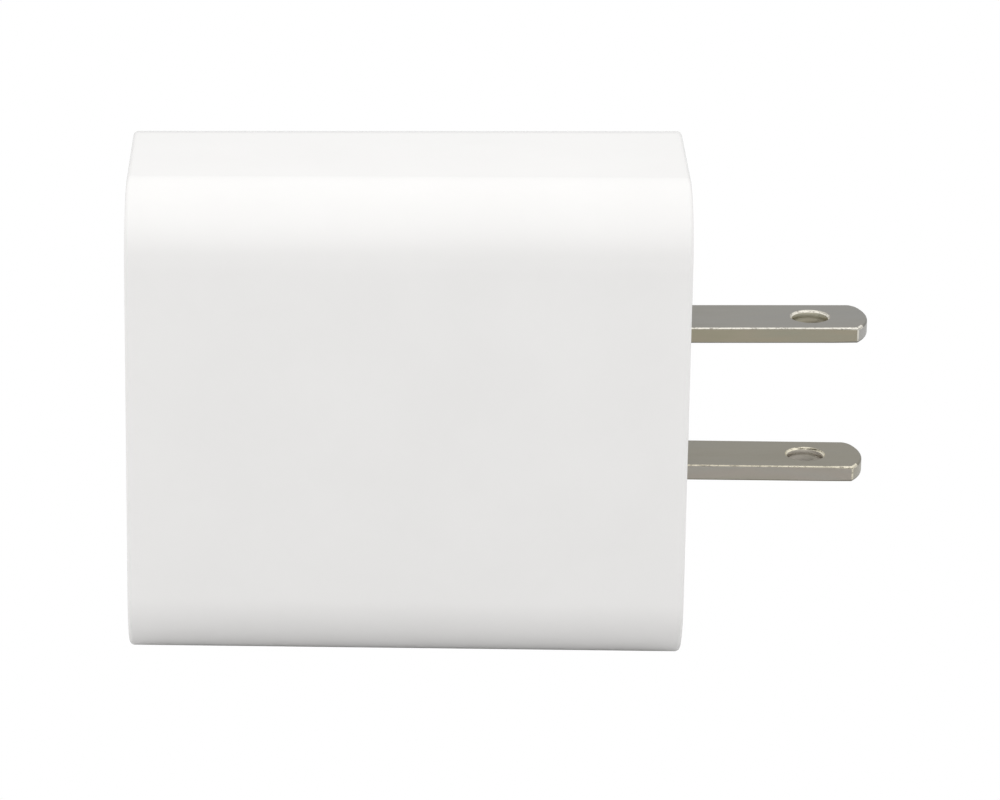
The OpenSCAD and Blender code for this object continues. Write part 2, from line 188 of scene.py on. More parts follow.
def build_housing():
    """Shell with a rounded outer edge at both ends, a closed port end and two port openings."""
    bm = bmesh.new()
    x_port = -BODY_LEN
    rings = []
    # the port end's outer edge, from its face round to the side
    for angle in QUARTER:
        x = x_port + END_ROUND * (1 - math.cos(angle))
        rings.append(ring(bm, x, drafted(x, END_ROUND * (1 - math.sin(angle)))))
    # the wall end's outer edge, from the side round to the rim
    for angle in QUARTER:
        x = -END_ROUND * (1 - math.sin(angle))
        rings.append(ring(bm, x, drafted(x, END_ROUND * (1 - math.cos(angle)))))
    # the rim's inner edge, then down the inside of the shell
    for angle in QUARTER:
        x = -RIM_ROUND * (1 - math.cos(angle))
        rings.append(ring(bm, x, drafted(x, -RIM_ROUND * (1 - math.sin(angle)), WALL)))
    x_inside = x_port + FRONT_WALL
    rings.append(ring(bm, x_inside, drafted(x_inside, 0.0, WALL)))
    bridge_all(bm, rings)
    # the two port openings, with a rounded mouth
    outer_holes = []
    inner_holes = []
    for node in ("usb_a_shell", "usb_c_shell"):
        mouths = []
        for angle in QUARTER:
            x = x_port + PORT_ROUND * (1 - math.cos(angle))
            outline, middle = port_outline(node, PORT_ROUND * (1 - math.sin(angle)))
            mouths.append(ring(bm, x, outline, middle))
        outline, middle = port_outline(node, 0.0)
        mouths.append(ring(bm, x_inside, outline, middle))
        bridge_all(bm, mouths)
        outer_holes.append(mouths[0])
        inner_holes.append(mouths[-1])
    fill(bm, [rings[0]] + outer_holes, (-1, 0, 0))
    fill(bm, [rings[-1]] + inner_holes, (1, 0, 0))
    return finish_mesh(bm, "shell")


# ---------------------------------------------------------------- blades

# the four finishes of a blade, each tinted to a painted shade level for its face direction, and one of them a
# painted highlight
BROAD, SIDE, HIGHLIGHT_EDGE, END = range(4)
BLADE_HALF_W = 3.175 * MM
BLADE_ROOT_X = -3.2 * MM
# behind its root a blade widens to a shoulder and ends in a narrow tail, all in one piece
SHOULDER_FRONT_X = -3.15 * MM
SHOULDER_BACK_X = -4.4 * MM
SHOULDER_WIDTH = 8.4 * MM
TAIL_WIDTH = 5.0 * MM
TAIL_EDGE = 0.1 * MM
# each blade leans away from the other by BLADE_SPLAY, in degrees, and sits a little off its true place
BLADE_SPLAY = 0.38
BLADE_SHIFT_Y = -0.24 * MM
BLADE_SHIFT_Z = -0.04 * MM
# edge radius along the blade and round its nose, and the length over which one grows into the other
BLADE_EDGE = 0.12 * MM
NOSE_EDGE = 0.22 * MM
NOSE_EASE = 0.6 * MM
# plan of the nose: its radius, and the radii where it meets the near and the far side
NOSE_R = 5.5 * MM
NEAR_CORNER = 0.18 * MM
FAR_CORNER = 1.0 * MM
# the hole, its mouth and the depth of its rim; RIM_POWER 1 hollows the rim and 2 makes it a straight chamfer
HOLE_X = 11.2 * MM
HOLE_MOUTH_R = 1.77 * MM
HOLE_RIM = 0.18 * MM
RIM_POWER = 1.6
# how far from the middle the near, upper edge starts to carry the painted highlight
HIGHLIGHT_WIDTH = 2.35 * MM


def corner_fillet(previous, corner, following, radius, steps=8):
    """Points that round a corner of an outline with a circle of that radius."""
    a = (previous - corner).normalized()
    b = (following - corner).normalized()
    half = a.angle(b) / 2
    reach = radius / math.tan(half)
    centre = corner + (a + b).normalized() * (radius / math.sin(half))
    start = corner + a * reach - centre
    end = corner + b * reach - centre
    turn = start.angle_signed(end)
    points = []
    for k in range(steps + 1):
        angle = -turn * k / steps
        rotated = Vector((
            start.x * math.cos(angle) - start.y * math.sin(angle),
            start.x * math.sin(angle) + start.y * math.cos(angle),
        ))
        points.append(centre + rotated)
    return points


def blade_outline(tip_x):
    """Plan of a blade as (x, y) points, anticlockwise, and where its sides meet its nose."""
    nose_centre = tip_x - NOSE_R
    corner_x = nose_centre + math.sqrt(NOSE_R ** 2 - BLADE_HALF_W ** 2)
    near = Vector((corner_x, -BLADE_HALF_W))
    far = Vector((corner_x, BLADE_HALF_W))
    # the nose stops short of the corners, which the fillets fill in
    half_sweep = 0.8 * math.degrees(math.asin(BLADE_HALF_W / NOSE_R))
    crown = [Vector(p) for p in arc(nose_centre, 0.0, NOSE_R, -half_sweep, 20, 2 * half_sweep)]
    near_root = Vector((BLADE_ROOT_X, -BLADE_HALF_W))
    far_root = Vector((BLADE_ROOT_X, BLADE_HALF_W))
    points = [near_root.lerp(near, k / 24) for k in range(22)]
    points += corner_fillet(points[-1], near, crown[0], NEAR_CORNER)
    points += crown
    points += corner_fillet(crown[-1], far, far_root, FAR_CORNER)
    points += [far_root.lerp(far, k / 24) for k in range(20, -1, -1)]
    return points, corner_x


def edge_radii(points, corner_x):
    """Radius of a blade's edge at each point of its plan: larger round the nose."""
    radii = []
    for point in points:
        share = min(1.0, max(0.0, (point.x - corner_x + NOSE_EASE) / NOSE_EASE))
        radii.append(BLADE_EDGE + (NOSE_EDGE - BLADE_EDGE) * share * share)
    return radii


def inward_normals(points):
    """Direction into the blade at each point of its plan."""
    normals = []
    for i, point in enumerate(points):
        along = (points[(i + 1) % len(points)] - points[i - 1]).normalized()
        normals.append(Vector((-along.y, along.x)))
    return normals


def blade_finish(face, corner_x, half_t):
    """Which finish a face of the blade's edges or hole has; the near, upper edge, the near corner of the nose
    and the upper rim of the hole get the painted highlight.
    """
    middle = face.calc_center_median()
    heights = [vert.co.z for vert in face.verts]
    tall = max(heights) - min(heights) > half_t
    in_hole = (middle.x - HOLE_X) ** 2 + middle.y ** 2 < (HOLE_MOUTH_R + 0.01 * MM) ** 2
    if in_hole:
        return SIDE if tall or middle.z < 0 else HIGHLIGHT_EDGE
    if tall:
        if abs(middle.x - corner_x) < NEAR_CORNER and middle.y < NEAR_CORNER - BLADE_HALF_W:
            return HIGHLIGHT_EDGE
        return END if middle.x > corner_x else SIDE
    # painted highlight along the near, upper edge
    return HIGHLIGHT_EDGE if middle.z > 0 and middle.y < -HIGHLIGHT_WIDTH else BROAD


def build_blade(node, side):
    """Flat blade with a rounded nose, eased edges and a deburred hole, leaning away from its twin."""
    low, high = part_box(node)
    half_t = (high.z - low.z) / 2
    points, corner_x = blade_outline(high.x)
    plan = list(zip(points, inward_normals(points), edge_radii(points, corner_x)))
    bm = bmesh.new()

    def edge_ring(angle, sign):
        verts = []
        for point, normal, radius in plan:
            offset = radius * (1 - math.sin(angle))
            z = sign * (half_t - radius * (1 - math.cos(angle)))
            verts.append(bm.verts.new((point.x + normal.x * offset, point.y + normal.y * offset, z)))
        return verts

    def hole_ring(angle, sign):
        # a slightly hollow chamfer, from the face in to the wall
        radius = HOLE_MOUTH_R - HOLE_RIM * (1 - math.cos(angle) ** RIM_POWER)
        z = sign * (half_t - HOLE_RIM * math.sin(angle) ** RIM_POWER)
        return [bm.verts.new((x, y, z)) for x, y in arc(HOLE_X, 0.0, radius, 0, 63, 360 * 63 / 64)]

    outer = [edge_ring(angle, 1) for angle in QUARTER] + [edge_ring(angle, -1) for angle in reversed(QUARTER)]
    hole = [hole_ring(angle, 1) for angle in QUARTER] + [hole_ring(angle, -1) for angle in reversed(QUARTER)]
    bridge_all(bm, outer)
    bridge_all(bm, hole)
    for face in bm.faces:
        face.material_index = blade_finish(face, corner_x, half_t)
    fill(bm, [outer[0], hole[0]], (0, 0, 1))
    fill(bm, [outer[-1], hole[-1]], (0, 0, -1))
    for x_low, x_high, width in (
        (low.x, SHOULDER_BACK_X, TAIL_WIDTH),
        (SHOULDER_BACK_X, SHOULDER_FRONT_X, SHOULDER_WIDTH),
    ):
        soft_box(bm, (x_low, -width / 2, -half_t), (x_high, width / 2, half_t), TAIL_EDGE)
    lean = Matrix.Rotation(math.radians(-side * BLADE_SPLAY), 4, "Y")
    seat = Matrix.Translation((0, BLADE_SHIFT_Y, (low.z + high.z) / 2 + BLADE_SHIFT_Z))
    bmesh.ops.transform(bm, matrix=seat @ lean, verts=bm.verts)
    return finish_mesh(bm, node + "_blade")


# ---------------------------------------------------------------- sockets

SHELL_METAL = 0.3 * MM
MOUTH_ROUND = 0.14 * MM
# distance in from the mouth, in mm, and share of the spring's press, out along it and back
SPRING_PROFILE = (
    (1.2, 0.34), (2.0, 0.95), (2.5, 1.0), (3.2, 0.86), (6.4, 0.0), (6.4, -0.3),
    (3.2, 0.48), (2.5, 0.62), (2.0, 0.56), (1.2, -0.04),
)


def spring(bm, mouth_x, press, width, place_across):
    """Contact spring pressed out of a socket's wall; place_across turns (offset, across) into (y, z)."""
    sides = []
    for edge in (-width / 2, width / 2):
        loop = []
        for x, share in SPRING_PROFILE:
            y, z = place_across(share * press, edge)
            loop.append(bm.verts.new((mouth_x + x * MM, y, z)))
        sides.append(loop)
    bridge(bm, *sides)
    bm.faces.new(sides[0])
    bm.faces.new(sides[1])


def build_socket_shell(node, radius, springs):
    """Drawn metal tube with a rolled mouth; springs rows are (wall, places, press, width)."""
    low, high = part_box(node)
    half_y, half_z = (high.y - low.y) / 2, (high.z - low.z) / 2
    middle = (low.z + high.z) / 2
    bm = bmesh.new()
    profile = [(high.x, 0.0)]
    for k in range(ROUND_STEPS + 1):
        angle = math.radians(180 * k / ROUND_STEPS)
        inset = SHELL_METAL / 2 * (1 - math.cos(angle))
        profile.append((low.x + MOUTH_ROUND * (1 - math.sin(angle)), inset))
    profile.append((high.x, SHELL_METAL))
    rings = [
        ring(bm, x, rounded_outline(half_y - inset, half_z - inset, radius - inset, 12), middle)
        for x, inset in profile
    ]
    bridge_all(bm, rings + rings[:1])
    inner_y, inner_z = half_y - SHELL_METAL, half_z - SHELL_METAL

    def place_on(wall, at):
        sign = 1 if wall[0] == "+" else -1
        if wall[1] == "Y":
            return lambda offset, across: (sign * (inner_y - offset), middle + at + across)
        return lambda offset, across: (at + across, middle + sign * (inner_z - offset))

    for wall, places, press, width in springs:
        for at in places:
            spring(bm, low.x, press, width, place_on(wall, at))
    return finish_mesh(bm, node + "_drawn")


# ---------------------------------------------------------------- wire, coils and turned parts

BOARD_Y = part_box("main_board")[0].y / MM
LEAD_DEPTH = 2.3
LEAD_R = 0.3


def board_point(at, x, y, z):
    """Place on the main board's component face, with z away from the board, in metres."""
    return Vector(((at[0] + x) * MM, (BOARD_Y - z) * MM, (at[1] + y) * MM))


def tube(bm, path, radius, sides, material=0):
    """Round wire along a path, with closed ends."""
    rings = []
    across = None
    for i, point in enumerate(path):
        ahead = (path[min(i + 1, len(path) - 1)] - path[max(i - 1, 0)]).normalized()
        if across is None:
            across = ahead.orthogonal().normalized()
        across = (across - ahead * across.dot(ahead)).normalized()
        other = ahead.cross(across)
        loop = []
        for k in range(sides):
            angle = 2 * math.pi * k / sides
            offset = (across * math.cos(angle) + other * math.sin(angle)) * radius
            loop.append(bm.verts.new(point + offset))
        rings.append(loop)
    start = len(bm.faces)
    bridge_all(bm, rings)
    bm.faces.new(rings[0])
    bm.faces.new(rings[-1])
    bm.faces.ensure_lookup_table()
    for face in bm.faces[start:]:
        face.material_index = material


def wind(outline, turns, pitch, start):
    """Helix that follows an outline, as (a, b, along) points."""
    count = len(outline)
    points = []
    for k in range(int(turns * count) + 1):
        a, b = outline[k % count]
        points.append((a, b, start + pitch * k / count))
    return points


def turned(bm, at, profile, steps=64):
    """Solid of revolution that stands on the board: profile rows are (radius, height, finish)."""
    rings = []
    for radius, height, _ in profile:
        loop = []
        for k in range(steps):
            angle = 2 * math.pi * k / steps
            loop.append(bm.verts.new(board_point(
                at, radius * math.cos(angle), radius * math.sin(angle), height)))
        rings.append(loop)
    for (ring_a, ring_b), row in zip(zip(rings, rings[1:]), profile[1:]):
        start = len(bm.faces)
        bridge(bm, ring_a, ring_b)
        bm.faces.ensure_lookup_table()
        for face in bm.faces[start:]:
            face.material_index = row[2]
    for loop, row in ((rings[0], profile[0]), (rings[-1], profile[-1])):
        bm.faces.new(loop).material_index = row[2]


def middle_of(node):
    """Where a node stands on the board, in mm."""
    low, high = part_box(node)
    return ((low.x + high.x) / 2 / MM, (low.z + high.z) / 2 / MM)


def leads(bm, at, places, top, material):
    """Straight leads that stand in the board's holes."""
    for x, y in places:
        path = [board_point(at, x, y, h) for h in (-LEAD_DEPTH, -LEAD_DEPTH + 0.15, top)]
        tube(bm, path, LEAD_R * MM, 12, material)


def build_capacitor(node, radius, height, spacing, bare):
    """Electrolytic can: rubber foot, rolled groove, sleeve turned over the top and a scored vent."""
    foot, sleeve, can = (2, 1, 1) if bare else (2, 0, 1)
    at = middle_of(node)
    bm = bmesh.new()
    groove = [
        (radius - 0.35 * math.sin(math.radians(a)) ** 2, 1.8 + 0.5 * (a - 90) / 90, sleeve)
        for a in range(0, 181, 20)
    ]
    round_r = 0.7
    shoulder = [(r, h, sleeve) for r, h in arc(radius - round_r, height - round_r, round_r, 0, 6)]
    lip = radius - 1.15
    profile = [(radius - 0.9, 0.45, foot), (radius - 0.75, 0.62, foot), (radius - 0.3, 0.62, sleeve)]
    profile += [(radius - 0.08, 0.7, sleeve), (radius, 0.9, sleeve)] + groove + shoulder
    profile += [(lip, height, sleeve), (lip - 0.05, height - 0.12, sleeve), (lip - 0.12, height - 0.12, can)]
    profile += [(0.9, height - 0.14, can), (0.02, height - 0.15, can)]
    turned(bm, at, profile)
    for angle in (30, 150, 270):
        a = math.radians(angle)
        path = [
            board_point(at, r * math.cos(a), r * math.sin(a), height - 0.16)
            for r in (0.15, 0.55 * lip, 0.8 * lip)
        ]
        tube(bm, path, 0.07 * MM, 8, 1)
    leads(bm, at, ((0, -spacing / 2), (0, spacing / 2)), 0.8, 3)
    return finish_mesh(bm, node + "_can")


def build_choke_winding():
    """Two windings of two layers each, one over each half of the ring."""
    low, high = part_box("choke_core")
    centre = (low + high) / 2
    ring_r, hole_r, half_t, wire = 4.4 * MM, 2.3 * MM, 1.9 * MM, 0.21 * MM
    bm = bmesh.new()
    for side in (90, 270):
        for layer, turns in ((0, 8), (1, 7)):
            gap = wire * (1.2 + 1.9 * layer)
            span = 96.0 - 10 * layer
            outline = rounded_outline((ring_r - hole_r) / 2 + gap, half_t + gap, 0.45 * MM, 6)
            path = []
            for a, b, along in wind(outline, turns, span / turns, side - span / 2):
                r = (ring_r + hole_r) / 2 + a
                t = math.radians(along)
                path.append(centre + Vector((b, r * math.cos(t), r * math.sin(t))))
            tube(bm, path, wire, 8)
    # four ends, each up from the board and out to the ring
    at = middle_of("choke_core")
    for x in (-1.6, 1.6):
        for y in (-3, 3):
            path = [board_point(at, x, y, h) for h in (-LEAD_DEPTH, 0.2, 1.2)]
            path.append(board_point(at, x * 1.25, y * 0.95, 2.2))
            tube(bm, path, 0.24 * MM, 10)
    return finish_mesh(bm, "choke_turns")


DRUM_FOOT = 0.4
DRUM_HEIGHT = 7.5
DRUM_FLANGE = 1.1
DRUM_WAIST_R = 1.3


def build_drum_winding():
    """Three layers of wire between the flanges of the drum core."""
    at = middle_of("line_inductor_core")
    wire = 0.2
    low = DRUM_FOOT + DRUM_FLANGE + wire
    high = DRUM_FOOT + DRUM_HEIGHT - DRUM_FLANGE - wire
    per_turn = 20
    steps = int((high - low) / (2.05 * wire) * per_turn)
    bm = bmesh.new()
    for layer in range(3):
        radius = DRUM_WAIST_R + wire * (1 + 1.8 * layer)
        path = []
        for k in range(steps + 1):
            t = 2 * math.pi * k / per_turn
            h = low + (high - low) * k / steps
            path.append(board_point(at, radius * math.cos(t), radius * math.sin(t), h))
        tube(bm, path, wire * MM, 8)
    return finish_mesh(bm, "drum_turns")


def build_coil(node, wire, layers):
    """Winding round the transformer's centre leg, in layers that follow the former's section."""
    low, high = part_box(node)
    centre = (low + high) / 2
    half_x, half_y, half_z = (high - low) / 2
    bm = bmesh.new()
    for layer in range(layers):
        inset = wire * (1 + 1.85 * layer)
        outline = rounded_outline(half_x - inset, half_y - inset, 0.5 * MM + wire, 5)
        turns = (2 * half_z - 2.1 * wire) / (2.04 * wire)
        path = [
            centre + Vector((a, b, along))
            for a, b, along in wind(outline, turns, 2.04 * wire, -half_z + 1.05 * wire)
        ]
        tube(bm, path, wire, 8)
    return finish_mesh(bm, node + "_turns")


# ---------------------------------------------------------------- softened CAD pieces

def soften(node, width):
    """Rounds a CAD node's edges with modifiers; its own mesh stays as it is."""
    obj = frame["nodes"][node]
    weld = obj.modifiers.new("weld", "WELD")
    weld.merge_threshold = 1e-7
    flat = obj.modifiers.new("join_flats", "DECIMATE")
    flat.decimate_type = "DISSOLVE"
    flat.angle_limit = math.radians(0.5)
    flat.delimit = {"NORMAL"}
    bevel = obj.modifiers.new("soft_edges", "BEVEL")
    bevel.limit_method = "ANGLE"
    bevel.angle_limit = math.radians(35)
    bevel.width = width * MM
    bevel.segments = 3
    bevel.use_clamp_overlap = True
    flatten_shading(obj)


# how far each CAD node's edges are rounded, in mm
SOFT = {
    "rear_cover": 0.12, "blade_retainer": 0.2, "blade_clip_live": 0.05, "blade_clip_neutral": 0.05,
    "main_board": 0.04, "port_board": 0.05, "usb_a_tongue": 0.12, "usb_a_contacts": 0.05,
    "usb_c_tongue": 0.1, "usb_c_contacts": 0.025, "fuse": 0.35, "inrush_thermistor": 0.8,
    "choke_core": 0.35, "bridge_rectifier": 0.1, "line_inductor_core": 0.15, "power_switch": 0.08,
    "snubber_diode": 0.1, "transformer_core_upper": 0.2, "transformer_core_lower": 0.2,
    "transformer_bobbin": 0.1, "transformer_tape": 0.12, "transformer_pins": 0.08, "y_capacitor": 0.7,
    "optocoupler": 0.1, "sync_rectifier": 0.08, "port_controller": 0.05, "chip_resistors": 0.06,
    "chip_capacitors": 0.1, "insulation_barrier": 0.06, "insulation_film": 0.05, "heat_spreader": 0.1,
    "thermal_pad": 0.15, "capacitor_adhesive": 0.3,
}


# ---------------------------------------------------------------- materials

def fill_ramp(node, stops):
    """Sets a colour ramp's stops, given as (position, colour)."""
    elements = node.color_ramp.elements
    while len(elements) < len(stops):
        elements.new(0.5)
    for element, (position, colour) in zip(elements, stops):
        element.position = position
        element.color = tuple(colour) + (1.0,)


class Nodes:
    """Short way to write a material's node tree."""

    def __init__(self, name):
        self.material = bpy.data.materials.new(name)
        self.material.use_nodes = True
        self.tree = self.material.node_tree
        self.shader = self.tree.nodes["Principled BSDF"]
        self.place = self.tree.nodes.new("ShaderNodeTexCoord").outputs["Object"]

    def add(self, kind, **inputs):
        node = self.tree.nodes.new("ShaderNode" + kind)
        for key, value in inputs.items():
            self.put(node, key.replace("_", " "), value)
        return node

    def put(self, node, socket, value):
        target = node.inputs[socket]
        if isinstance(value, bpy.types.NodeSocket):
            self.tree.links.new(value, target)
        else:
            target.default_value = value

    def set(self, **inputs):
        for key, value in inputs.items():
            self.put(self.shader, key.replace("_", " "), value)

    def stretched(self, scale):
        return self.add("Mapping", Vector=self.place, Scale=scale).outputs["Vector"]

    def noise(self, scale, detail=3.0, rough=0.5, vector=None):
        node = self.add("TexNoise", Vector=vector or self.place, Scale=scale, Detail=detail, Roughness=rough)
        return node.outputs["Fac"]

    def ramp(self, factor, stops):
        node = self.add("ValToRGB", Fac=factor)
        fill_ramp(node, stops)
        return node.outputs["Color"]

    def range(self, factor, low, high, from_low=0.0, from_high=1.0):
        node = self.add(
            "MapRange", Value=factor, From_Min=from_low, From_Max=from_high, To_Min=low, To_Max=high,
        )
        return node.outputs["Result"]

    def mix(self, factor, first, second):
        node = self.add("Mix")
        node.data_type = "RGBA"
        self.put(node, "Factor", factor)
        self.put(node, "A", first)
        self.put(node, "B", second)
        return node.outputs["Result"]

    def bump(self, height, distance, strength, normal=None):
        node = self.add("Bump", Height=height, Distance=distance, Strength=strength)
        if normal is not None:
            self.put(node, "Normal", normal)
        return node.outputs["Normal"]


def shell_material():
    """Glossy white plastic, very slightly clouded and rippled."""
    n = Nodes("gloss_white_polycarbonate")
    cloud = n.noise(70.0, 4.0, 0.55)
    n.set(Base_Color=n.ramp(cloud, [(0.35, (0.850, 0.842, 0.832)), (0.65, (0.870, 0.862, 0.852))]))
    n.set(Roughness=n.range(n.noise(900.0, 3.0), 0.10, 0.17))
    n.set(IOR=1.5)
    ripple = n.bump(n.noise(90.0, 2.0), 0.00002, 0.35)
    n.set(Normal=n.bump(n.noise(2600.0, 2.0), 0.000004, 0.4, ripple))
    return n.material


def cover_material():
    """Satin white plastic with a fine spark-eroded grain."""
    n = Nodes("satin_white_polycarbonate")
    cloud = n.noise(90.0, 4.0, 0.55)
    n.set(Base_Color=n.ramp(cloud, [(0.35, (0.780, 0.775, 0.765)), (0.65, (0.800, 0.796, 0.788))]))
    n.set(Roughness=n.range(n.noise(1500.0, 3.0), 0.34, 0.46))
    n.set(Normal=n.bump(n.noise(5200.0, 3.0, 0.6), 0.00001, 0.6))
    return n.material


# name, tints with painted shade levels, lowest and highest roughness, in the order of BROAD, SIDE, the
# highlighted edge and END
BLADE_FINISHES_AND_SHADES = (
    # painted shade: the broad faces, sheared sides and nose end each get their own darker tint of the one
    # nickel
    ("shaded_satin_nickel_face",
     ((0.260, 0.248, 0.221), (0.273, 0.262, 0.238), (0.266, 0.259, 0.242)), 0.26, 0.36),
    ("shaded_sheared_nickel_side",
     ((0.370, 0.345, 0.280), (0.405, 0.362, 0.310), (0.378, 0.362, 0.318)), 0.30, 0.44),
    # painted highlight: a bright tint where the edges catch the light
    ("painted_highlight_nickel_edge",
     ((0.800, 0.770, 0.690), (0.860, 0.830, 0.760), (0.730, 0.700, 0.630)), 0.12, 0.22),
    ("shaded_sheared_nickel_end",
     ((0.460, 0.452, 0.430), (0.505, 0.497, 0.480), (0.480, 0.468, 0.448)), 0.30, 0.42),
)
NICK_COLOUR = (0.19, 0.17, 0.14, 1.0)


def blade_material(name, tints_and_shades, low, high, nicked):
    """Nickel plate in uneven patches, tinted to the painted shade or highlight level of its face, with fine
    grain and, on the highlighted edge, dark nicks.
    """
    n = Nodes(name)
    patches = n.noise(230.0, 3.0, 0.55, n.stretched((0.3, 1.0, 1.6)))
    # the tint holds this face's painted shade or painted highlight level
    tint = n.ramp(patches, list(zip((0.34, 0.50, 0.66), tints_and_shades)))
    if nicked:
        nicks = n.noise(5200.0, 4.0, 0.7, n.stretched((0.5, 1.0, 1.0)))
        tint = n.mix(n.range(nicks, 0.0, 0.7, 0.50, 0.64), tint, NICK_COLOUR)
    n.set(Base_Color=tint, Metallic=1.0)
    grain = n.noise(1500.0, 4.0, 0.6, n.stretched((0.25, 1.0, 1.0)))
    n.set(Roughness=n.range(grain, low, high))
    n.set(Normal=n.bump(n.noise(1100.0, 3.0), 0.00001, 0.25))
    return n.material


def blade_materials(node, shade, side_shade):
    """A blade's four finishes; the shades, one of them for the sheared sides, give each of the two blades its
    own painted light and shade.
    """
    made = []
    for index, (name, tints_and_shades, low, high) in enumerate(BLADE_FINISHES_AND_SHADES):
        shade_scale = side_shade if index == SIDE else shade
        scaled_shades = [tuple(level * part for level, part in zip(tint, shade_scale)) for tint in tints_and_shades]
        made.append(blade_material(f"{name}_{node}", scaled_shades, low, high, index == HIGHLIGHT_EDGE))
    return made


def metal(name, colours, low, high, scale, stretch):
    """Bare or plated metal: uneven tint, streaked gloss and fine drawing or rolling lines."""
    n = Nodes(name)
    n.set(Base_Color=n.ramp(n.noise(scale * 0.3, 4.0, 0.6), list(zip((0.35, 0.5, 0.65), colours))))
    n.set(Metallic=1.0)
    lines = n.noise(scale, 4.0, 0.65, n.stretched(stretch))
    n.set(Roughness=n.range(lines, low, high))
    n.set(Normal=n.bump(lines, 0.000012, 0.4))
    return n.material


def resin(name, dark, light, low, high, scale=1200.0, grain=0.4, speck=None):
    """Moulded or dipped plastic: clouded colour, fine grain and, if given, specks of another colour."""
    n = Nodes(name)
    colour = n.ramp(n.noise(scale * 0.25, 4.0, 0.6), [(0.32, dark), (0.68, light)])
    if speck is not None:
        dots = n.add("TexVoronoi", Vector=n.place, Scale=scale * 1.6)
        spotted = n.range(dots.outputs["Distance"], 0.8, 0.0, 0.05, 0.2)
        colour = n.mix(spotted, colour, tuple(speck) + (1.0,))
    n.set(Base_Color=colour)
    n.set(Roughness=n.range(n.noise(scale, 3.0), low, high))
    n.set(Normal=n.bump(n.noise(scale * 3.0, 3.0, 0.6), 0.00001, grain))
    return n.material


def board_material():
    """Solder mask over copper tracks, with the weave of the glass cloth just showing."""
    n = Nodes("solder_mask_board")
    cells = n.add("TexVoronoi", Vector=n.stretched((1.0, 0.02, 1.0)), Scale=260.0)
    cells.distance = "MANHATTAN"
    cells.feature = "F2"
    track = n.range(cells.outputs["Distance"], 0.0, 1.0, 0.62, 0.66)
    n.set(Base_Color=n.ramp(track, [(0.0, (0.008, 0.070, 0.028)), (1.0, (0.016, 0.125, 0.048))]))
    n.set(Roughness=n.range(n.noise(800.0, 3.0), 0.22, 0.36))
    weave = n.add("TexWave", Vector=n.place, Scale=900.0, Distortion=1.5)
    n.set(Normal=n.bump(weave.outputs["Fac"], 0.000008, 0.3, n.bump(track, 0.00003, 0.7)))
    return n.material


def wire_material(name, dark, light, metallic, low, high):
    """Enamelled or insulated wire, its tint drifting from turn to turn."""
    n = Nodes(name)
    n.set(Base_Color=n.ramp(n.noise(700.0, 4.0, 0.6), [(0.3, dark), (0.7, light)]))
    n.set(Roughness=n.range(n.noise(2000.0, 3.0), low, high))
    n.set(Metallic=metallic, Coat_Weight=0.6, Coat_Roughness=0.15)
    n.set(Normal=n.bump(n.noise(3500.0, 3.0), 0.000008, 0.4))
    return n.material


def sheet_material(name, colour, light, through, low, high):
    """Thin polyester: faintly clouded, with soft creases."""
    n = Nodes(name)
    n.set(Base_Color=n.ramp(n.noise(160.0, 4.0, 0.6), [(0.3, colour), (0.7, light)]))
    n.set(Roughness=n.range(n.noise(500.0, 3.0), low, high))
    n.set(Transmission_Weight=through)
    n.set(Normal=n.bump(n.noise(220.0, 3.0), 0.00006, 0.4))
    return n.material


STEEL = ((0.60, 0.60, 0.59), (0.66, 0.66, 0.65), (0.63, 0.62, 0.61))
TIN = ((0.66, 0.66, 0.64), (0.72, 0.72, 0.70), (0.69, 0.68, 0.66))
BRONZE = ((0.56, 0.37, 0.17), (0.66, 0.46, 0.24), (0.60, 0.42, 0.21))
GOLD = ((0.80, 0.58, 0.22), (0.86, 0.66, 0.30), (0.83, 0.62, 0.26))
ALUMINIUM = ((0.70, 0.71, 0.72), (0.77, 0.77, 0.78), (0.73, 0.74, 0.75))


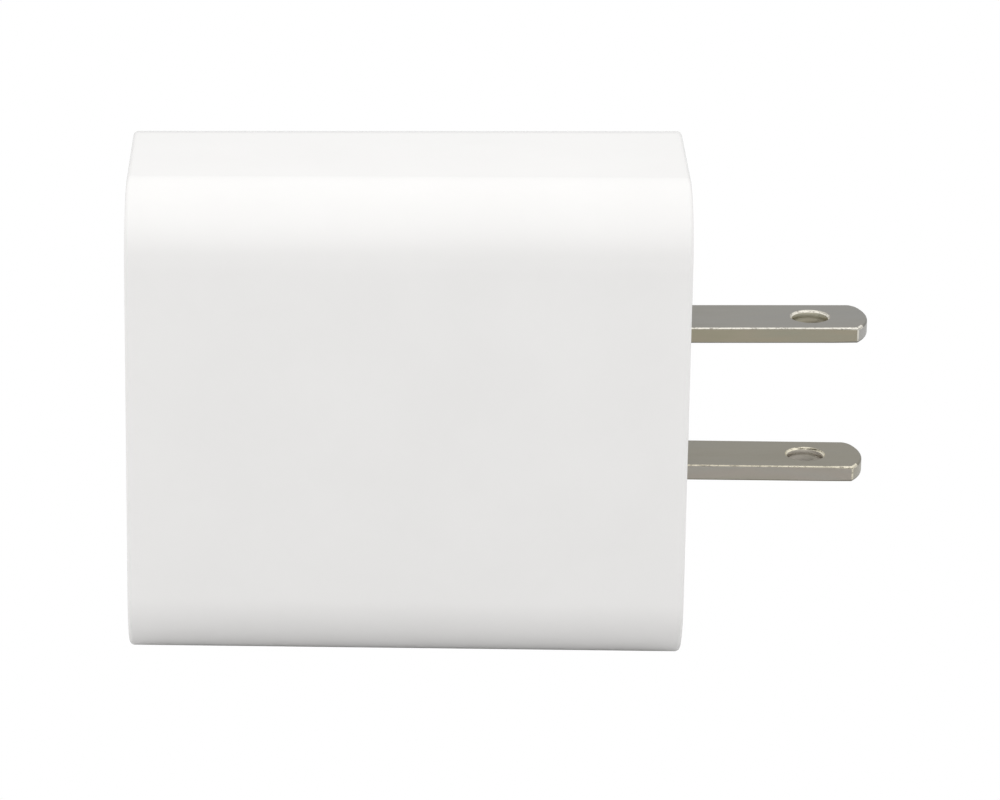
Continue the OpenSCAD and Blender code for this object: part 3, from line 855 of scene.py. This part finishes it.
def make_finishes():
    """One material for each slot that the CAD nodes and the new pieces use."""
    return {
        "cover_white": cover_material(),
        "nylon_natural": resin("nylon", (0.66, 0.62, 0.50), (0.74, 0.70, 0.58), 0.38, 0.52),
        "spring_bronze": metal("rolled_bronze", BRONZE, 0.24, 0.38, 1300.0, (0.15, 1, 1)),
        "circuit_board": board_material(),
        "socket_steel": metal("drawn_nickel_steel", STEEL, 0.20, 0.34, 1600.0, (0.12, 1, 1)),
        "socket_plastic_white": resin("lcp_white", (0.74, 0.73, 0.69), (0.80, 0.79, 0.76), 0.40, 0.55),
        "socket_plastic_black": resin("lcp_black", (0.018, 0.018, 0.02), (0.034, 0.034, 0.036), 0.36, 0.52),
        "gold_contacts": metal("gold_flash", GOLD, 0.16, 0.30, 1800.0, (0.15, 1, 1)),
        "fuse_brown": resin("fuse_case", (0.13, 0.072, 0.038), (0.18, 0.10, 0.055), 0.38, 0.52),
        "thermistor_coat": resin(
            "dipped_olive", (0.07, 0.10, 0.06), (0.12, 0.15, 0.10), 0.42, 0.62, 900.0, 0.9,
        ),
        "ferrite": resin(
            "ferrite", (0.035, 0.035, 0.038), (0.06, 0.06, 0.064), 0.38, 0.6, 1500.0, 0.9,
            speck=(0.12, 0.12, 0.125),
        ),
        "enamelled_copper": wire_material(
            "enamel_wire", (0.46, 0.15, 0.045), (0.66, 0.26, 0.09), 0.8, 0.22, 0.34,
        ),
        "insulated_wire": wire_material(
            "yellow_wire", (0.70, 0.46, 0.06), (0.80, 0.58, 0.12), 0.0, 0.30, 0.42,
        ),
        "chip_epoxy": resin(
            "moulded_epoxy", (0.02, 0.02, 0.022), (0.034, 0.034, 0.036), 0.44, 0.62, 1600.0, 0.9,
        ),
        "capacitor_sleeve": resin(
            "shrunk_sleeve", (0.020, 0.034, 0.080), (0.032, 0.05, 0.11), 0.2, 0.3, 500.0,
        ),
        "bobbin_phenolic": resin(
            "phenolic", (0.028, 0.026, 0.024), (0.045, 0.042, 0.038), 0.4, 0.55, 1300.0, 0.7,
            speck=(0.10, 0.09, 0.08),
        ),
        "polyester_tape": sheet_material(
            "yellow_tape", (0.78, 0.58, 0.06), (0.84, 0.66, 0.12), 0.1, 0.22, 0.34,
        ),
        "tinned_steel": metal("tinned_pin", TIN, 0.22, 0.38, 1500.0, (1, 0.2, 1)),
        "disc_capacitor_coat": resin(
            "dipped_blue", (0.035, 0.15, 0.36), (0.065, 0.22, 0.47), 0.3, 0.46, 700.0, 0.8,
        ),
        "capacitor_can": metal("aluminium_can", ALUMINIUM, 0.24, 0.36, 1400.0, (1, 0.15, 1)),
        "chip_resistor_black": resin("resistor_glaze", (0.03, 0.03, 0.034), (0.05, 0.05, 0.055), 0.3, 0.42),
        "chip_capacitor_tan": resin("capacitor_ceramic", (0.36, 0.26, 0.16), (0.46, 0.34, 0.23), 0.42, 0.58),
        "insulation_sheet": sheet_material(
            "polyester_sheet", (0.76, 0.74, 0.62), (0.82, 0.80, 0.70), 0.35, 0.2, 0.34,
        ),
        "spreader_aluminium": metal("rolled_aluminium", ALUMINIUM, 0.28, 0.42, 1200.0, (0.1, 1, 1)),
        "thermal_silicone": resin("gap_pad", (0.30, 0.40, 0.50), (0.38, 0.48, 0.58), 0.62, 0.8, 900.0, 1.0),
        "silicone_white": resin(
            "cured_silicone", (0.72, 0.72, 0.70), (0.82, 0.82, 0.80), 0.34, 0.5, 300.0, 0.8,
        ),
        "rubber_black": resin("capacitor_rubber", (0.02, 0.02, 0.02), (0.035, 0.034, 0.033), 0.6, 0.8),
    }


# ---------------------------------------------------------------- build

finishes = make_finishes()
shell = place(build_housing(), "shell_white", "housing")
shell.data.materials.append(shell_material())

# node, which way it leans, painted shade and painted shade of its sheared sides
BLADES = (
    ("blade_live", 1, (1.0, 1.0, 0.98), (1.06, 1.075, 0.965)),
    ("blade_neutral", -1, (0.95, 0.92, 0.81), (1.14, 1.17, 1.20)),
)
for blade_node, blade_side, shade, side_shade in BLADES:
    blade = place(build_blade(blade_node, blade_side), "nickel_plated_brass", blade_node)
    for finish in blade_materials(blade_node, shade, side_shade):
        blade.data.materials.append(finish)

# node, corner radius and springs
SOCKETS = (
    ("usb_a_shell", USB_A_CORNER, (
        ("-Y", (-3.2 * MM, 3.2 * MM), 0.42 * MM, 2.2 * MM),
        ("+Y", (-3.2 * MM, 3.2 * MM), 0.16 * MM, 2.2 * MM),
        ("+Z", (-0.4 * MM,), 0.30 * MM, 1.7 * MM),
        ("-Z", (-0.4 * MM,), 0.30 * MM, 1.7 * MM),
    )),
    ("usb_c_shell", 1.62 * MM, ()),
)
for socket_node, corner, springs in SOCKETS:
    socket = place(build_socket_shell(socket_node, corner, springs), "socket_steel", socket_node)
    socket.data.materials.append(finishes["socket_steel"])

# node, radius, height and lead spacing in mm, and whether the can is bare
CAPACITORS = (
    ("bulk_capacitor_large", 4.9, 14.5, 5, False), ("bulk_capacitor_small", 4.4, 14.5, 3.5, False),
    ("output_capacitor_front", 3.15, 10, 2.5, True), ("output_capacitor_rear", 3.15, 10, 2.5, True),
)
for can_node, can_r, can_h, can_pitch, bare in CAPACITORS:
    slot_name = "capacitor_can" if bare else "capacitor_sleeve"
    can = place(build_capacitor(can_node, can_r, can_h, can_pitch, bare), slot_name, can_node)
    for finish in ("capacitor_sleeve", "capacitor_can", "rubber_black", "tinned_steel"):
        can.data.materials.append(finishes[finish])

for coil_node, coil, slot_name in (
    ("choke_windings", build_choke_winding(), "enamelled_copper"),
    ("line_inductor_winding", build_drum_winding(), "enamelled_copper"),
    ("transformer_primary", build_coil("transformer_primary", 0.14 * MM, 4), "enamelled_copper"),
    ("transformer_secondary", build_coil("transformer_secondary", 0.42 * MM, 1), "insulated_wire"),
):
    place(coil, slot_name, coil_node).data.materials.append(finishes[slot_name])

for part in frame["record"]["subparts"]:
    if part["node"] in SOFT:
        soften(part["node"], SOFT[part["node"]])
        mesh = frame["nodes"][part["node"]].data
        mesh.materials.clear()
        mesh.materials.append(finishes[part["material_slot"]])


# ---------------------------------------------------------------- stage, light and camera

AIM = Vector((-15.86, 0.0, -0.97)) * MM
CAMERA_AZIMUTH = math.radians(-1.65)
CAMERA_ELEVATION = math.radians(19.716)
CAMERA_ROLL = math.radians(0.912)
CAMERA_DISTANCE = 447.4 * MM
CAMERA_LENS = 182.85


def add_camera():
    """Camera at CAMERA_DISTANCE from AIM, turned about its own axis by CAMERA_ROLL."""
    back = Vector((
        math.sin(CAMERA_AZIMUTH) * math.cos(CAMERA_ELEVATION),
        -math.cos(CAMERA_AZIMUTH) * math.cos(CAMERA_ELEVATION),
        math.sin(CAMERA_ELEVATION),
    ))
    right = (-back).cross(Vector((0, 0, 1))).normalized()
    up = right.cross(-back)
    c, s = math.cos(CAMERA_ROLL), math.sin(CAMERA_ROLL)
    across = c * right + s * up
    above = c * up - s * right
    place_at = AIM + back * CAMERA_DISTANCE
    data = bpy.data.cameras.new("camera")
    data.lens = CAMERA_LENS
    data.sensor_width = 36.0
    data.clip_start = 0.01
    data.clip_end = 20.0
    camera = bpy.data.objects.new("camera", data)
    camera.matrix_world = Matrix((
        (across.x, above.x, back.x, place_at.x),
        (across.y, above.y, back.y, place_at.y),
        (across.z, above.z, back.z, place_at.z),
        (0, 0, 0, 1),
    ))
    scene.collection.objects.link(camera)
    scene.camera = camera


def mix_for_camera(tree, shader, seen, output):
    """Shows the camera the seen shader in place of the one that lights the object."""
    path = tree.nodes.new("ShaderNodeLightPath")
    mix = tree.nodes.new("ShaderNodeMixShader")
    tree.links.new(path.outputs["Is Camera Ray"], mix.inputs["Fac"])
    tree.links.new(shader, mix.inputs[1])
    tree.links.new(seen, mix.inputs[2])
    tree.links.new(mix.outputs["Shader"], output.inputs["Surface"])


def add_floor():
    """Pale floor that the camera sees as white."""
    bm = bmesh.new()
    bmesh.ops.create_grid(bm, x_segments=1, y_segments=1, size=4.0)
    mesh = bpy.data.meshes.new("floor")
    bm.to_mesh(mesh)
    bm.free()
    floor = bpy.data.objects.new("floor", mesh)
    floor.location = (0, 0, FLOOR_Z)
    scene.collection.objects.link(floor)
    n = Nodes("pale_floor")
    n.set(Base_Color=(0.65, 0.65, 0.65, 1.0), Roughness=0.9)
    white = n.add("Emission", Color=(1, 1, 1, 1), Strength=1.0)
    output = n.tree.nodes["Material Output"]
    mix_for_camera(n.tree, n.shader.outputs["BSDF"], white.outputs["Emission"], output)
    mesh.materials.append(n.material)


# brightness of the studio dome from the horizon to the zenith, towards the front and the back
DOME_FRONT = ((0.0, 0.10), (0.25, 0.38), (0.5, 0.86), (0.75, 1.21), (0.9, 1.31), (1.0, 1.22))
DOME_BACK = ((0.0, 0.60), (0.25, 0.76), (0.5, 1.00), (0.75, 1.13), (0.9, 1.15), (1.0, 1.22))
# how far either side of the middle the two blend
DOME_BLEND = 0.35


def add_world():
    """Studio dome that lights the object, white to the camera."""
    world = bpy.data.worlds.new("studio")
    world.use_nodes = True
    tree = world.node_tree
    link = tree.links.new
    way = tree.nodes.new("ShaderNodeSeparateXYZ")
    link(tree.nodes.new("ShaderNodeTexCoord").outputs["Generated"], way.inputs["Vector"])
    side = tree.nodes.new("ShaderNodeMapRange")
    side.interpolation_type = "SMOOTHSTEP"
    side.inputs["From Min"].default_value = -DOME_BLEND
    side.inputs["From Max"].default_value = DOME_BLEND
    link(way.outputs["Y"], side.inputs["Value"])
    dome = tree.nodes.new("ShaderNodeMix")
    dome.data_type = "RGBA"
    link(side.outputs["Result"], dome.inputs["Factor"])
    for stops, socket in ((DOME_FRONT, dome.inputs["A"]), (DOME_BACK, dome.inputs["B"])):
        ramp = tree.nodes.new("ShaderNodeValToRGB")
        link(way.outputs["Z"], ramp.inputs["Fac"])
        fill_ramp(ramp, [(height, (level, level, level)) for height, level in stops])
        link(ramp.outputs["Color"], socket)
    lighting = tree.nodes["Background"]
    link(dome.outputs["Result"], lighting.inputs["Color"])
    white = tree.nodes.new("ShaderNodeBackground")
    white.inputs["Color"].default_value = (1, 1, 1, 1)
    output = tree.nodes["World Output"]
    mix_for_camera(tree, lighting.outputs["Background"], white.outputs["Background"], output)
    scene.world = world


# name, azimuth from the front, elevation, distance, width, height, watts
LIGHTS = (
    ("side_left", -55, 16, 0.60, 0.35, 0.26, 0.74),
    ("side_right", 55, 16, 0.60, 0.35, 0.26, 0.70),
)


def add_light(name, azimuth, elevation, distance, width, height, watts):
    """Soft light aimed at the middle of the body, kept out of reflections."""
    a, e = math.radians(azimuth), math.radians(elevation)
    way = Vector((math.sin(a) * math.cos(e), -math.cos(a) * math.cos(e), math.sin(e)))
    data = bpy.data.lights.new(name, "AREA")
    data.shape = "RECTANGLE"
    data.size = width
    data.size_y = height
    data.energy = watts
    light = bpy.data.objects.new(name, data)
    light.location = Vector((-BODY_LEN / 2, 0, 0)) + way * distance
    light.rotation_euler = (-way).to_track_quat("-Z", "Y").to_euler()
    light.visible_glossy = False
    scene.collection.objects.link(light)


add_camera()
add_floor()
add_world()
for row in LIGHTS:
    add_light(*row)
scene.view_settings.view_transform = "Standard"
